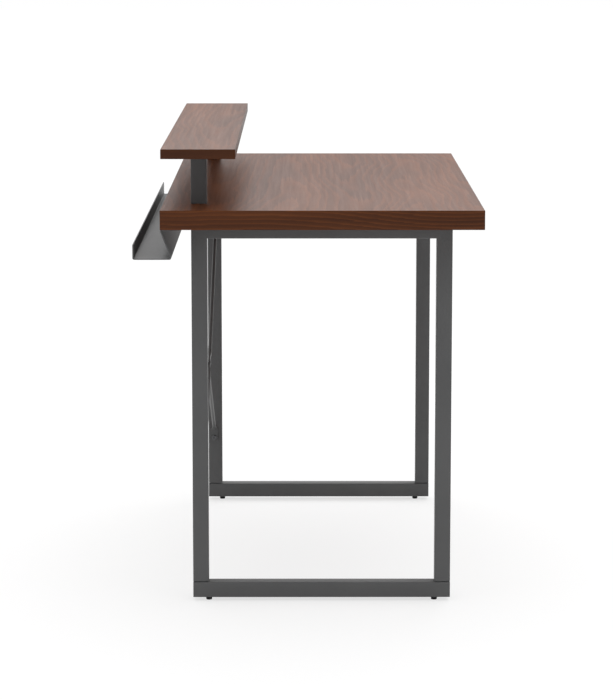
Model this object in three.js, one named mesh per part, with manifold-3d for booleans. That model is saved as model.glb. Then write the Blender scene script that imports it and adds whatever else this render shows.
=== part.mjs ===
// Computer desk: a thick laminated top on two closed side frames of square tube, with a raised
// shelf along the rear edge, a folded cable tray hanging behind it and a cross brace of two rods.
//
// Millimetres, +Z up. +X is to the right of someone sitting at the desk and +Y is the rear.
// Pieces are placed from the floor up, about the middle of the top. At the end the whole desk
// moves forward, so that its origin is on the floor in the middle of its own box.

import * as THREE from "three";
import { mergeVertices } from "three/addons/utils/BufferGeometryUtils.js";
import Module from "manifold-3d";

const wasm = await Module();
wasm.setup();

// ---------------------------------------------------------------- driving dimensions

// Top: a board with a thin band glued on each edge
const topLength = 1200;
const topDepth = 600;
const topThickness = 36;
const edgeBand = 1;

// Side frames of square tube
const frameOverhang = 120; // from the end of the top to the outer face of a frame
const frameSetback = 53; // from the front or rear edge of the top to the frame
const frameHeight = 725; // from the underside of the bottom rail to the underside of the top
const tubeSide = 30;
const tubeWall = 1.5;
const tubeCorner = 2; // outer radius of the tube's long edges
const tubeInnerCorner = 0.5;
const plugDepth = 12; // how far a plastic plug reaches into the end of a bottom rail
const plugWall = 1.6;

// Raised shelf on two posts, which stand over the rear legs
const shelfDepth = 138;
const shelfThickness = 18;
const shelfRise = 95; // clear height between the top and the shelf
const shelfSetback = 2; // from the rear edge of the top to the rear edge of the shelf

// Cable tray, one folded sheet
const traySheet = 2;
const trayBend = 1.5; // inside radius of each fold
const trayInset = 10; // from the end of the top to the end of the tray
const trayReach = 51.5; // from the rear edge of the top to the outside of the lip
const trayToe = 21.5; // how far the trough reaches under the top
const trayDrop = 56.5; // from the underside of the top to the underside of the trough
const trayLip = 28;
const trayFrameClearance = 16; // between the fixing flange and the frames

// Cross brace between the rear legs, two equal rods
const braceRod = 8; // diameter
const bracePad = 4; // thickness where a rod is flattened at the crossing
const braceTab = 3; // thickness where an end is flattened against the leg
const braceTabTail = 10; // from the screw to the tip of a tab
const braceTabNeck = 21; // from the screw to the bend
const braceBend = 8; // radius of the bend, on the middle of the rod
const braceLowScrew = 106; // from the top of the bottom rail up to the lower screws
const braceHighScrew = 75; // from the underside of the top rail down to the upper screws
const bendRounding = 0.7; // how far a tab has turned back into a round rod at the end of the bend
const padReach = 15; // from the middle of the crossing to the end of the flat pad
const padTaper = 22; // from the end of the pad to the round rod
const rivetRadius = 2.5;
const rivetHead = 4.6;
const rivetDome = 1.8;

// How square the section of a rod is: 2 is an ellipse
const roundSection = 2;
const softSection = 3;
const flatSection = 6;

// Levelling feet
const footHeight = 7;
const footTopRadius = 6.2;
const footBaseRadius = 5.6;
const footEdge = 0.6; // bevel round the foot and round the tip of its stud
const footInset = 30; // from the end of the bottom rail to the middle of the foot
const footTravel = 10; // how far a foot can be screwed out
const footSocket = 4.5; // how deep the stud is moulded into the foot
const studRadius = 3;
const footNut = 8; // thickness of the nut welded inside the rail
const footNutRadius = 5.8; // to its corners

// Screws and bolts: radius of the shank, of the head and of the socket, height of the head
const woodScrew = { shank: 2.5, head: 5, headHeight: 3.2, socket: 1.6 };
const braceScrew = { shank: 3, head: 6.2, headHeight: 3.6, socket: 2 };
const shelfBolt = { shank: 3, head: 6.5, headHeight: 4.5, socket: 2.5 };
const woodBite = 20; // how far a wood screw reaches into the top
const frameScrewCount = 3; // in each top rail
const frameScrewMargin = 65; // from the end of the top rail to the first screw
const accessRadius = 6.5; // of the hole that lets a driver through to a frame screw
const trayScrewCount = 4;
const trayScrewMargin = 60; // from the end of the tray to the first screw
const trayScrewEdge = 9; // from the front edge of the flange to the screws
const braceScrewGrip = 10; // how far a brace screw reaches past the wall of the leg
const counterbore = 6; // depth of the shelf bolt's pocket in the underside of the top
const insertRadius = 5; // of the threaded insert in the shelf
const insertLength = 12;

// Clearances
const seatGap = 0.1; // glue line or paint film where one piece is pressed onto another
const fitGap = 0.3; // between a piece and the hollow it fits, and between slanted ends
const holeGap = 0.4; // round a shank in its hole
const pocketGap = 0.5; // round a head in its pocket, and past the tip of a screw
const cutPast = 1; // how far a cutting tool reaches past a face, to cut it clean

// Facets
const screwSides = 12;
const holeSides = 12;
const footSides = 20;
const rodSides = 12;
const cornerArc = 2; // half the number of steps round a tube's long edge
const bendSteps = 4;
const tipSteps = 4; // along the half round tip of a tab
const tipStart = 0.2; // angle of its first step, in radians

// ---------------------------------------------------------------- derived places

const railTop = footHeight + tubeSide;
const topUnderside = footHeight + frameHeight;
const topSurface = topUnderside + topThickness;
const shelfUnderside = topSurface + shelfRise;

const frameDepth = topDepth - 2 * frameSetback;
const frameX = topLength / 2 - frameOverhang - tubeSide / 2;
const legY = frameDepth / 2 - tubeSide / 2;
const bottomRailZ = footHeight + tubeSide / 2;
const topRailZ = topUnderside - seatGap - tubeSide / 2;

const shelfY = topDepth / 2 - shelfSetback - shelfDepth / 2;

const trayLength = topLength - 2 * trayInset;
const trayFlange = frameSetback - trayFrameClearance;
const trayScrewY = topDepth / 2 - trayFlange + trayScrewEdge;

const braceLowZ = railTop + braceLowScrew;
const braceHighZ = topRailZ - tubeSide / 2 - braceHighScrew;
const braceZ = (braceLowZ + braceHighZ) / 2;
const braceShift = (bracePad + fitGap) / 2; // of each rod from the middle of the legs
const tabX = frameX - tubeSide / 2 - seatGap - braceTab / 2; // middle of a tab's thickness

const padTop = footHeight - seatGap;

// ---------------------------------------------------------------- materials

const finish = (color, roughness, metalness) =>
  new THREE.MeshStandardMaterial({ color, roughness, metalness });

const walnutLaminate = () => finish(0x6a4632, 0.45, 0);
const powderCoat = () => finish(0x55565a, 0.5, 0.3);
const blackPlastic = () => finish(0x141415, 0.55, 0);
const blackSteel = () => finish(0x2a2a2c, 0.4, 0.8);
const zincSteel = () => finish(0xb9bcc0, 0.35, 1);

// ---------------------------------------------------------------- solids

// A closed geometry as a solid that can be cut.
function toSolid(geometry) {
  const bare = new THREE.BufferGeometry();
  bare.setAttribute("position", geometry.getAttribute("position"));
  bare.setIndex(geometry.index);
  const merged = mergeVertices(bare);
  return new wasm.Manifold(
    new wasm.Mesh({
      numProp: 3,
      vertProperties: merged.attributes.position.array,
      triVerts: new Uint32Array(merged.index.array),
    }),
  );
}

// The geometry with each tool taken out of it.
function cut(geometry, tools) {
  const left = tools.reduce((solid, tool) => solid.subtract(toSolid(tool)), toSolid(geometry));
  const mesh = left.getMesh();
  const made = new THREE.BufferGeometry();
  made.setAttribute("position", new THREE.BufferAttribute(mesh.vertProperties, 3));
  made.setIndex(new THREE.BufferAttribute(mesh.triVerts, 1));
  made.computeVertexNormals();
  return made;
}

function block(sizeX, sizeY, sizeZ, x = 0, y = 0, z = 0) {
  return new THREE.BoxGeometry(sizeX, sizeY, sizeZ).translate(x, y, z);
}

// A round bar between two points, to cut a hole with.
function drill(radius, from, to) {
  const start = new THREE.Vector3(...from);
  const reach = new THREE.Vector3(...to).sub(start);
  const turn = new THREE.Quaternion();
  turn.setFromUnitVectors(new THREE.Vector3(0, 1, 0), reach.clone().normalize());
  const bar = new THREE.CylinderGeometry(radius, radius, reach.length(), holeSides);
  return bar.applyQuaternion(turn).translate(...start.addScaledVector(reach, 0.5));
}

// A profile of [radius, height] pairs turned about Z. It runs upwards, outside to the right.
function turned(profile, sideCount) {
  const points = profile.map(([radius, height]) => new THREE.Vector2(radius, height));
  return new THREE.LatheGeometry(points, sideCount).rotateX(Math.PI / 2);
}

// A screw or bolt on +Z: the underside of its head is at 0 and its shank points up.
function fastener({ shank, head, headHeight, socket }, length, pointed = false) {
  const taper = pointed ? 2 * shank : 0.25 * shank;
  const tip = pointed ? 0.15 * shank : 0.75 * shank;
  const crown = 0.7 * head;
  const shoulder = 0.5 * headHeight;
  const socketFloor = 0.4 * headHeight;
  return turned(
    [
      [0, -socketFloor],
      [socket, -socketFloor],
      [socket, -headHeight],
      [crown, -headHeight],
      [head, -shoulder],
      [head, 0],
      [shank, 0],
      [shank, length - taper],
      [tip, length],
      [0, length],
    ],
    screwSides,
  );
}

// A plate on z = 0 with the given outline, and a round hole through its middle.
function boredPlate(outline, bore, thickness) {
  outline.holes.push(new THREE.Path().absarc(0, 0, bore, 0, 2 * Math.PI));
  return new THREE.ExtrudeGeometry(outline, {
    depth: thickness,
    bevelEnabled: false,
    curveSegments: holeSides / 2,
  });
}

// Draws a square with round corners on a shape, or on the path of a hole.
function roundedSquare(path, side, radius) {
  const arc = side / 2 - radius;
  path.moveTo(arc, -side / 2);
  path.absarc(arc, -arc, radius, -Math.PI / 2, 0);
  path.absarc(arc, arc, radius, 0, Math.PI / 2);
  path.absarc(-arc, arc, radius, Math.PI / 2, Math.PI);
  path.absarc(-arc, -arc, radius, Math.PI, 1.5 * Math.PI);
  path.closePath();
  return path;
}

// A square tube round the Z axis, from z = 0. An end is square, or slopes with y for a mitre.
function squareTube(length, lowSlope = 0, highSlope = 0) {
  const section = roundedSquare(new THREE.Shape(), tubeSide, tubeCorner);
  section.holes.push(roundedSquare(new THREE.Path(), tubeSide - 2 * tubeWall, tubeInnerCorner));
  const tube = new THREE.ExtrudeGeometry(section, {
    depth: length,
    bevelEnabled: false,
    curveSegments: cornerArc,
  });
  const place = tube.getAttribute("position");
  for (let i = 0; i < place.count; i++) {
    const slope = place.getZ(i) > length / 2 ? highSlope : lowSlope;
    place.setZ(i, place.getZ(i) + slope * place.getY(i));
  }
  return tube;
}

// The same tube laid along Y, about its middle.
function laidTube(length, lowSlope, highSlope) {
  return squareTube(length, lowSlope, highSlope).rotateX(-Math.PI / 2).translate(0, -length / 2, 0);
}

// A closed skin over a row of rings, which all have the same number of points.
function skin(rings) {
  const count = rings[0].length;
  const faces = [];
  for (let ring = 0; ring + 1 < rings.length; ring++) {
    for (let side = 0; side < count; side++) {
      const a = ring * count + side;
      const b = ring * count + ((side + 1) % count);
      faces.push(a, b, b + count, a, b + count, a + count);
    }
  }
  const last = (rings.length - 1) * count;
  for (let side = 1; side + 1 < count; side++) {
    faces.push(0, side + 1, side);
    faces.push(last, last + side, last + side + 1);
  }
  return new THREE.BufferGeometry().setFromPoints(rings.flat()).setIndex(faces);
}

// The section of a folded sheet, from the corners down the middle of its thickness.
function foldedSection(corners, thickness, bend) {
  const radius = bend + thickness / 2;
  const left = [];
  const right = [];
  const station = (point, along) => {
    const across = new THREE.Vector2(-along.y, along.x).multiplyScalar(thickness / 2);
    left.push(point.clone().add(across));
    right.push(point.clone().sub(across));
  };
  const heading = (from) => corners[from + 1].clone().sub(corners[from]).normalize();
  station(corners[0], heading(0));
  for (let i = 1; i + 1 < corners.length; i++) {
    const before = heading(i - 1);
    const after = heading(i);
    const turn = Math.atan2(before.cross(after), before.dot(after));
    const setback = radius * Math.tan(Math.abs(turn) / 2);
    const start = corners[i].clone().addScaledVector(before, -setback);
    const inward = new THREE.Vector2(-before.y, before.x).multiplyScalar(Math.sign(turn) * radius);
    const centre = start.clone().add(inward);
    for (let step = 0; step <= bendSteps; step++) {
      const angle = (turn * step) / bendSteps;
      const along = before.clone().rotateAround(new THREE.Vector2(), angle);
      station(start.clone().rotateAround(centre, angle), along);
    }
  }
  station(corners.at(-1), heading(corners.length - 2));
  return new THREE.Shape([...right, ...left.reverse()]);
}

// ---------------------------------------------------------------- scene graph

function piece(name, geometry, material, x = 0, y = 0, z = 0) {
  const mesh = new THREE.Mesh(geometry, material);
  mesh.name = name;
  mesh.position.set(x, y, z);
  return mesh;
}

function group(...children) {
  const made = new THREE.Group();
  made.add(...children);
  return made;
}

// Evenly spaced places from -half to +half.
function spread(count, half) {
  if (count === 1) return [0];
  return Array.from({ length: count }, (_, i) => -half + (2 * half * i) / (count - 1));
}

const frameScrewPlaces = spread(frameScrewCount, frameDepth / 2 - frameScrewMargin);
const trayScrewPlaces = spread(trayScrewCount, trayLength / 2 - trayScrewMargin);
const sides = [
  ["left", -1],
  ["right", 1],
];
const ends = [
  ["front", -1],
  ["rear", 1],
];

// ---------------------------------------------------------------- boards

// A board on z = 0 with a band glued along each edge. The tools cut its core.
function bandedBoard(prefix, length, depth, thickness, tools) {
  const rim = edgeBand + seatGap;
  const coreDepth = depth - 2 * rim;
  const middle = thickness / 2;
  const core = cut(block(length - 2 * rim, coreDepth, thickness, 0, 0, middle), tools);
  const made = group(piece(`${prefix}_core`, core, walnutLaminate()));
  for (const [side, sign] of sides) {
    const band = block(edgeBand, coreDepth, thickness);
    const x = (sign * (length - edgeBand)) / 2;
    made.add(piece(`${prefix}_${side}_edge`, band, walnutLaminate(), x, 0, middle));
  }
  for (const [end, toEnd] of ends) {
    const band = block(length, edgeBand, thickness);
    const y = (toEnd * (depth - edgeBand)) / 2;
    made.add(piece(`${prefix}_${end}_edge`, band, walnutLaminate(), 0, y, middle));
  }
  return made;
}

function tabletop() {
  const pilot = (x, y) =>
    drill(woodScrew.shank + holeGap, [x, y, -cutPast], [x, y, woodBite + pocketGap]);
  const tools = trayScrewPlaces.map((x) => pilot(x, trayScrewY));
  for (const [, sign] of sides) {
    const x = sign * frameX;
    tools.push(...frameScrewPlaces.map((y) => pilot(x, y)));
    const below = [x, legY, -cutPast];
    tools.push(drill(shelfBolt.shank + holeGap, below, [x, legY, topThickness + cutPast]));
    tools.push(drill(shelfBolt.head + pocketGap, below, [x, legY, counterbore]));
  }
  const made = bandedBoard("tabletop", topLength, topDepth, topThickness, tools);
  made.position.z = topUnderside;
  return made;
}

function shelf() {
  const y = legY - shelfY;
  const tools = sides.map(([, sign]) => {
    const x = sign * frameX;
    return drill(insertRadius + holeGap, [x, y, -cutPast], [x, y, insertLength + pocketGap]);
  });
  const made = bandedBoard("shelf", topLength, shelfDepth, shelfThickness, tools);
  made.position.set(0, shelfY, shelfUnderside);
  return made;
}

// A post, the long bolt that clamps top, post and shelf together, and the bolt's insert.
function shelfPost(side, sign) {
  const boltSeat = counterbore - topThickness - seatGap;
  const bolt = fastener(shelfBolt, shelfRise + insertLength - pocketGap - boltSeat);
  const disc = new THREE.Shape().absarc(0, 0, insertRadius, 0, 2 * Math.PI);
  const insert = boredPlate(disc, shelfBolt.shank + holeGap, insertLength);
  const tube = squareTube(shelfRise - 2 * seatGap);
  const made = group(
    piece(`${side}_shelf_post`, tube, powderCoat(), 0, 0, seatGap),
    piece(`${side}_shelf_bolt`, bolt, zincSteel(), 0, 0, boltSeat),
    piece(`${side}_shelf_insert`, insert, zincSteel(), 0, 0, shelfRise + seatGap),
  );
  made.position.set(sign * frameX, legY, topSurface);
  return made;
}

// ---------------------------------------------------------------- side frames

// A leg stands on the bottom rail and meets the top rail on a mitre. The rear legs are drilled
// for the cross brace.
function leg(side, sign, end, toEnd) {
  const standsAt = railTop + seatGap;
  const tube = squareTube(topRailZ - standsAt - fitGap * Math.SQRT2, 0, toEnd);
  const tools = [false, true].map((high) => {
    const y = braceOffset(sign, high);
    const z = (high ? braceHighZ : braceLowZ) - standsAt;
    const outside = -sign * (tubeSide / 2 + cutPast);
    const inside = -sign * (tubeSide / 2 - 2 * tubeWall);
    return drill(braceScrew.shank + holeGap, [outside, y, z], [inside, y, z]);
  });
  const geometry = end === "rear" ? cut(tube, tools) : tube;
  return piece(`${side}_${end}_leg`, geometry, powderCoat(), 0, toEnd * legY, standsAt);
}

// The bottom rail runs under the legs. It has a hole for the stud of each foot.
function bottomRail(side) {
  const tools = ends.map(([, toEnd]) => {
    const y = toEnd * (frameDepth / 2 - footInset);
    const low = -tubeSide / 2;
    return drill(studRadius + holeGap, [0, y, low - cutPast], [0, y, low + 2 * tubeWall]);
  });
  const rail = cut(laidTube(frameDepth, 0, 0), tools);
  return piece(`${side}_bottom_rail`, rail, powderCoat(), 0, 0, bottomRailZ);
}

// The top rail is mitred to the legs. Each screw goes through its upper wall, and is driven
// through a wider hole in its lower wall.
function topRail(side) {
  const tools = frameScrewPlaces.flatMap((y) => [
    drill(woodScrew.shank + holeGap, [0, y, 0], [0, y, tubeSide]),
    drill(accessRadius, [0, y, -tubeSide], [0, y, 0]),
  ]);
  const rail = cut(laidTube(frameDepth - tubeSide, 1, -1), tools);
  return piece(`${side}_top_rail`, rail, powderCoat(), 0, 0, topRailZ);
}

// A plastic cup pressed into the end of a bottom rail, its mouth inwards.
function railPlug(side, end, toEnd) {
  const width = tubeSide - 2 * tubeWall - 2 * fitGap;
  const hollow = width - 2 * plugWall;
  const cup = cut(block(width, plugDepth, width), [
    block(hollow, plugDepth, hollow, 0, -toEnd * plugWall, 0),
  ]);
  const y = toEnd * (frameDepth / 2 - plugDepth / 2);
  return piece(`${side}_${end}_rail_plug`, cup, blackPlastic(), 0, y, bottomRailZ);
}

function sideFrame(side, sign) {
  const made = group(bottomRail(side), topRail(side));
  for (const [end, toEnd] of ends) {
    made.add(leg(side, sign, end, toEnd), railPlug(side, end, toEnd));
  }
  const screwSeat = topUnderside - tubeWall - 2 * seatGap;
  for (const [index, y] of frameScrewPlaces.entries()) {
    const screw = fastener(woodScrew, topUnderside + woodBite - screwSeat, true);
    const name = `${side}_frame_screw_${index + 1}`;
    made.add(piece(name, screw, zincSteel(), 0, y, screwSeat));
  }
  made.position.x = sign * frameX;
  return made;
}

// A levelling foot: the plastic foot, the stud moulded into it and the nut inside the rail.
function levellingFoot(side, sign, end, toEnd) {
  const bottom = padTop - footSocket;
  const foot = turned(
    [
      [0, 0],
      [footBaseRadius - footEdge, 0],
      [footBaseRadius, footEdge],
      [footTopRadius, padTop - footEdge],
      [footTopRadius - footEdge, padTop],
      [studRadius + holeGap, padTop],
      [studRadius + holeGap, bottom],
      [0, bottom],
    ],
    footSides,
  );
  const nutSeat = footHeight + tubeWall + seatGap;
  const studTop = nutSeat + footNut + footTravel + pocketGap;
  const stud = turned(
    [
      [0, bottom + seatGap],
      [studRadius, bottom + seatGap],
      [studRadius, studTop - footEdge],
      [studRadius - footEdge, studTop],
      [0, studTop],
    ],
    screwSides,
  );
  const corners = spread(7, Math.PI).slice(1);
  const hexagon = new THREE.Shape(
    corners.map((angle) => new THREE.Vector2(Math.cos(angle), Math.sin(angle)))
      .map((corner) => corner.multiplyScalar(footNutRadius)),
  );
  const nut = boredPlate(hexagon, studRadius + holeGap, footNut);
  const made = group(
    piece(`${side}_${end}_foot`, foot, blackPlastic()),
    piece(`${side}_${end}_foot_stud`, stud, zincSteel()),
    piece(`${side}_${end}_foot_nut`, nut, zincSteel(), 0, 0, nutSeat),
  );
  made.position.set(sign * frameX, toEnd * (frameDepth / 2 - footInset), 0);
  return made;
}

// ---------------------------------------------------------------- cross brace

// Rod 1 rises to the right and lies in front. Rod 2 is the same rod turned round, behind it.
function braceOffset(sign, high) {
  return high === sign > 0 ? -braceShift : braceShift;
}

// Half of rod 1, from the tip of its lower left tab to the crossing, which is its origin. Each
// station has its place and its way along in the plane of the brace, its width in that plane
// and across it, and how square its section is, 2 being round. Flattening keeps the area.
function halfRod() {
  const area = (Math.PI / 4) * braceRod ** 2;
  const tabWidth = area / braceTab;
  const padWidth = area / bracePad;
  const up = new THREE.Vector2(0, 1);
  const corner = new THREE.Vector2(-tabX, braceLowZ + braceTabNeck - braceZ);
  const along = corner.clone().negate().normalize();
  const turn = up.angleTo(along);
  const setback = braceBend * Math.tan(turn / 2);
  const bendStart = corner.clone().addScaledVector(up, -setback);
  const bendEnd = corner.clone().addScaledVector(along, setback);
  const bendCentre = new THREE.Vector2(bendStart.x + braceBend, bendStart.y);
  const tip = new THREE.Vector2(-tabX, braceLowZ - braceTabTail - braceZ);
  const stations = [];
  const add = (place, way, inPlane, across, squareness) =>
    stations.push({ place, way, inPlane, across, squareness });

  // The tip of the tab, a half circle
  const half = tabWidth / 2;
  for (let step = 0; step <= tipSteps; step++) {
    const angle = THREE.MathUtils.lerp(tipStart, Math.PI / 2, step / tipSteps);
    const place = tip.clone().addScaledVector(up, half * (1 - Math.cos(angle)));
    add(place, up, braceTab, tabWidth * Math.sin(angle), flatSection);
  }
  // The bend, where the flat tab turns back into a round rod
  const { lerp } = THREE.MathUtils;
  for (let step = 0; step <= bendSteps; step++) {
    const share = step / bendSteps;
    const place = bendStart.clone().rotateAround(bendCentre, -turn * share);
    const way = up.clone().rotateAround(new THREE.Vector2(), -turn * share);
    const rounded = bendRounding * share;
    const inPlane = lerp(braceTab, braceRod, rounded);
    const across = lerp(tabWidth, braceRod, rounded);
    add(place, way, inPlane, across, lerp(flatSection, softSection, share));
  }
  const endOfTaper = bendEnd.clone().addScaledVector(along, braceRod);
  add(endOfTaper, along, braceRod, braceRod, roundSection);
  // The flat pad at the crossing, and the taper from the rod to it
  const back = (distance) => along.clone().multiplyScalar(-distance);
  add(back(padReach + padTaper), along, braceRod, braceRod, roundSection);
  add(back(padReach + padTaper / 3), along, 0.9 * padWidth, 1.2 * bracePad, softSection);
  add(back(padReach), along, padWidth, bracePad, flatSection);
  return stations;
}

// The corners of a rod's section at one station.
function rodRing({ place, way, inPlane, across, squareness }) {
  const reach = (value) => Math.sign(value) * Math.abs(value) ** (2 / squareness);
  return Array.from({ length: rodSides }, (_, i) => {
    const angle = (2 * Math.PI * (i + 0.5)) / rodSides;
    const out = (reach(Math.cos(angle)) * inPlane) / 2;
    const y = (-reach(Math.sin(angle)) * across) / 2;
    return new THREE.Vector3(place.x - way.y * out, y, place.y + way.x * out);
  });
}

function crossBrace() {
  const half = halfRod();
  const otherHalf = half.toReversed().map((station) => ({
    ...station,
    place: station.place.clone().negate(),
  }));
  const rod = skin([...half, ...otherHalf].map(rodRing));
  const tabScrewZ = braceLowZ - braceZ;
  const tabHole = (toEnd) => {
    const place = (x) => [toEnd * (tabX + x), 0, toEnd * -tabScrewZ];
    return drill(braceScrew.shank + holeGap, place(-braceTab), place(braceTab));
  };
  const drilled = cut(rod, [
    tabHole(-1),
    tabHole(1),
    drill(rivetRadius + holeGap, [0, -bracePad, 0], [0, bracePad, 0]),
  ]).translate(0, -braceShift, 0);

  const grip = braceShift + bracePad / 2 + seatGap;
  const domed = [
    [0, rivetDome],
    [0.6 * rivetHead, 0.8 * rivetDome],
    [rivetHead, 0.15 * rivetDome],
    [rivetHead, 0],
    [rivetRadius, 0],
  ];
  const lowEnd = domed.map(([radius, height]) => [radius, -grip - height]);
  const highEnd = domed.toReversed().map(([radius, height]) => [radius, grip + height]);
  const rivet = turned([...lowEnd, ...highEnd], screwSides).rotateX(Math.PI / 2);

  const rodTurned = piece("brace_rod_2", drilled, powderCoat());
  rodTurned.rotation.z = Math.PI;
  const made = group(
    piece("brace_rod_1", drilled, powderCoat()),
    rodTurned,
    piece("brace_rivet", rivet, blackSteel()),
  );
  for (const [side, sign] of sides) {
    for (const [level, high] of [["lower", false], ["upper", true]]) {
      const seat = tabX - braceTab / 2 - seatGap;
      const length = frameX - tubeSide / 2 - seat + tubeWall + braceScrewGrip;
      const screw = piece(`brace_screw_${side}_${level}`, fastener(braceScrew, length), blackSteel());
      screw.rotation.y = (sign * Math.PI) / 2;
      const z = high ? braceHighZ : braceLowZ;
      screw.position.set(sign * seat, braceOffset(sign, high), z - braceZ);
      made.add(screw);
    }
  }
  made.position.set(0, legY, braceZ);
  return made;
}

// ---------------------------------------------------------------- cable tray

// The flange is screwed up against the underside of the top. The front wall leans forward and
// down from the top's rear edge, then comes the floor of the trough and its upright rear lip.
function cableTray() {
  const rear = topDepth / 2;
  const flangeZ = topUnderside - seatGap - traySheet / 2;
  const floorZ = topUnderside - trayDrop + traySheet / 2;
  const lipY = rear + trayReach - traySheet / 2;
  const corners = [
    [rear - trayFlange, flangeZ],
    [rear, flangeZ],
    [rear - trayToe + traySheet / 2, floorZ],
    [lipY, floorZ],
    [lipY, topUnderside - trayDrop + trayLip],
  ].map(([y, z]) => new THREE.Vector2(y, z));
  const section = foldedSection(corners, traySheet, trayBend);
  const sheet = new THREE.ExtrudeGeometry(section, { depth: trayLength, bevelEnabled: false })
    .translate(0, 0, -trayLength / 2)
    .rotateX(Math.PI / 2)
    .rotateZ(Math.PI / 2);
  const tools = trayScrewPlaces.map((x) => {
    const low = [x, trayScrewY, flangeZ - traySheet];
    const high = [x, trayScrewY, flangeZ + traySheet];
    return drill(woodScrew.shank + holeGap, low, high);
  });
  const made = group(piece("cable_tray", cut(sheet, tools), powderCoat()));
  const screwSeat = flangeZ - traySheet / 2 - seatGap;
  for (const [index, x] of trayScrewPlaces.entries()) {
    const screw = fastener(woodScrew, topUnderside + woodBite - screwSeat, true);
    made.add(piece(`tray_screw_${index + 1}`, screw, blackSteel(), x, trayScrewY, screwSeat));
  }
  return made;
}

// ---------------------------------------------------------------- the desk

const desk = group(tabletop(), shelf(), crossBrace(), cableTray());
for (const [side, sign] of sides) {
  desk.add(sideFrame(side, sign), shelfPost(side, sign));
  for (const [end, toEnd] of ends) desk.add(levellingFoot(side, sign, end, toEnd));
}
desk.position.y = -trayReach / 2;

export default desk;
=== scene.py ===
# The looks of the desk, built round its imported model. Metres, +Z up: +X is to the right of
# someone sitting at the desk and +Y is the rear edge, with the raised shelf and the cable tray.

import math

import bmesh
import bpy
from mathutils import Matrix, Vector


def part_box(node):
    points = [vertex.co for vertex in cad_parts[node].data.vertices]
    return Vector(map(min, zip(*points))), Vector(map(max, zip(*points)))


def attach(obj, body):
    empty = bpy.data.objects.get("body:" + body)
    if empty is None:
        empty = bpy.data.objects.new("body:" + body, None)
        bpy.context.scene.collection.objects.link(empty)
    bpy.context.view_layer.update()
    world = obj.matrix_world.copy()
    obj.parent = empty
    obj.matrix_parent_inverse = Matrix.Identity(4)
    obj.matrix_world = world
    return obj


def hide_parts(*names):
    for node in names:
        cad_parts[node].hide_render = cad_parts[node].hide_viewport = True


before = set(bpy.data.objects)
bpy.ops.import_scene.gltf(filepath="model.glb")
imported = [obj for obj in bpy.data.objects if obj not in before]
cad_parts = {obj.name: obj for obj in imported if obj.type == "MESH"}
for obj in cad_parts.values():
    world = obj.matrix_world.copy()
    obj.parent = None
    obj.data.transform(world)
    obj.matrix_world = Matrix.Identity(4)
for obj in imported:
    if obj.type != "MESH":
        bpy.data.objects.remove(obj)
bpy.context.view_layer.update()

MM = 0.001
SIDES = (("left", -1), ("right", 1))
ENDS = (("front", -1), ("rear", 1))
LEVELS = ("lower", "upper")
FRAME_SCREWS = (1, 2, 3)
TRAY_SCREWS = (1, 2, 3, 4)

# Meshes
WELD_DISTANCE = 0.0005 * MM  # points closer than this become one
AXIS_RADIUS = 0.0004 * MM  # radius of a turned piece at its axis, small enough to be welded
SHARP_ANGLE = math.radians(32)  # faces that meet at more than this show an edge
ROUND_SIDES = 32  # of a bore or a turned piece

# Tube
TUBE_CORNER = 2 * MM
TUBE_INNER_CORNER = 0.5 * MM
TUBE_WALL = 1.5 * MM
CORNER_STEPS = 5
MITRE_ROUND = 0.9 * MM  # how far the outer edge of a welded mitre is ground round
MITRE_STEPS = 4
SAWN_EDGE = 0.3 * MM  # deburred edge at the end of a tube
SEAM_HEIGHT = 1.8 * MM  # the shadow gap round the weld at the foot of a leg
SEAM_DEPTH = 3 * MM

# Plugs in the ends of the bottom rails
PLUG_WALL = 1.6 * MM
PLUG_CORNER = 0.9 * MM
PLUG_RIM = 0.7 * MM  # rounding of the edge of its face
PLUG_RIM_STEPS = 4
PLUG_CROWN = 0.21 * MM  # how far the middle of its face stands out
PLUG_MIDDLE = 0.5  # how wide that middle is, as a share of the plug

# Boards
BAND_ROUND = 0.8 * MM  # trimmed edge of the band
BAND_STEPS = 4

# Brace rods
ROD = 8 * MM
ROD_SIDES = 24
ROD_TAB = 3 * MM  # thickness of the tab at each end
ROD_PAD = 4 * MM  # thickness of the pad where the rods cross
ROUND = 2  # squareness of a round section
PRESSED = 7  # squareness of a tab or a pad
TAB_TAIL = 10 * MM  # from a tab's screw to its tip
TAB_NECK = 21 * MM  # from a tab's screw to the corner of its bend
TIP_START = 0.08  # angle, in radians, at which the round of a tip begins
TIP_STEPS = 10
BEND_RADIUS = 8 * MM
BEND_STEPS = 12
BEND_SHARE = 0.7  # how far the section has gone from tab to rod at the end of the bend
BEND_SQUARENESS = 2.6  # squareness there
NECK_LENGTH = 1.6 * ROD  # length after the bend in which a rod becomes fully round
NECK_STEPS = 5
PAD_REACH = 15 * MM  # half the length of a pad
PAD_TAPER = 22 * MM  # length in which the round rod becomes a pad
PAD_STEPS = 8
RIVET_DOME = 1.8 * MM
RIVET_SHANK = 2.5 * MM  # radius
RIVET_EDGE = 0.12  # thickness of the head's edge, as a share of the dome

# Tray
SHEET = 2 * MM
SHEET_BEND = 1.5 * MM
SHEET_BEND_STEPS = 8
SHEET_EDGE = 0.3 * MM
SHEET_EDGE_STEPS = 2
SHEET_EDGE_ANGLE = math.radians(50)  # sharper corners than this are deburred
TRAY_LEAN = 21.5 * MM  # how far forward the front wall reaches on its way down
TRAY_LIP = 28 * MM  # height of the rear lip over the tray's underside

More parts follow.
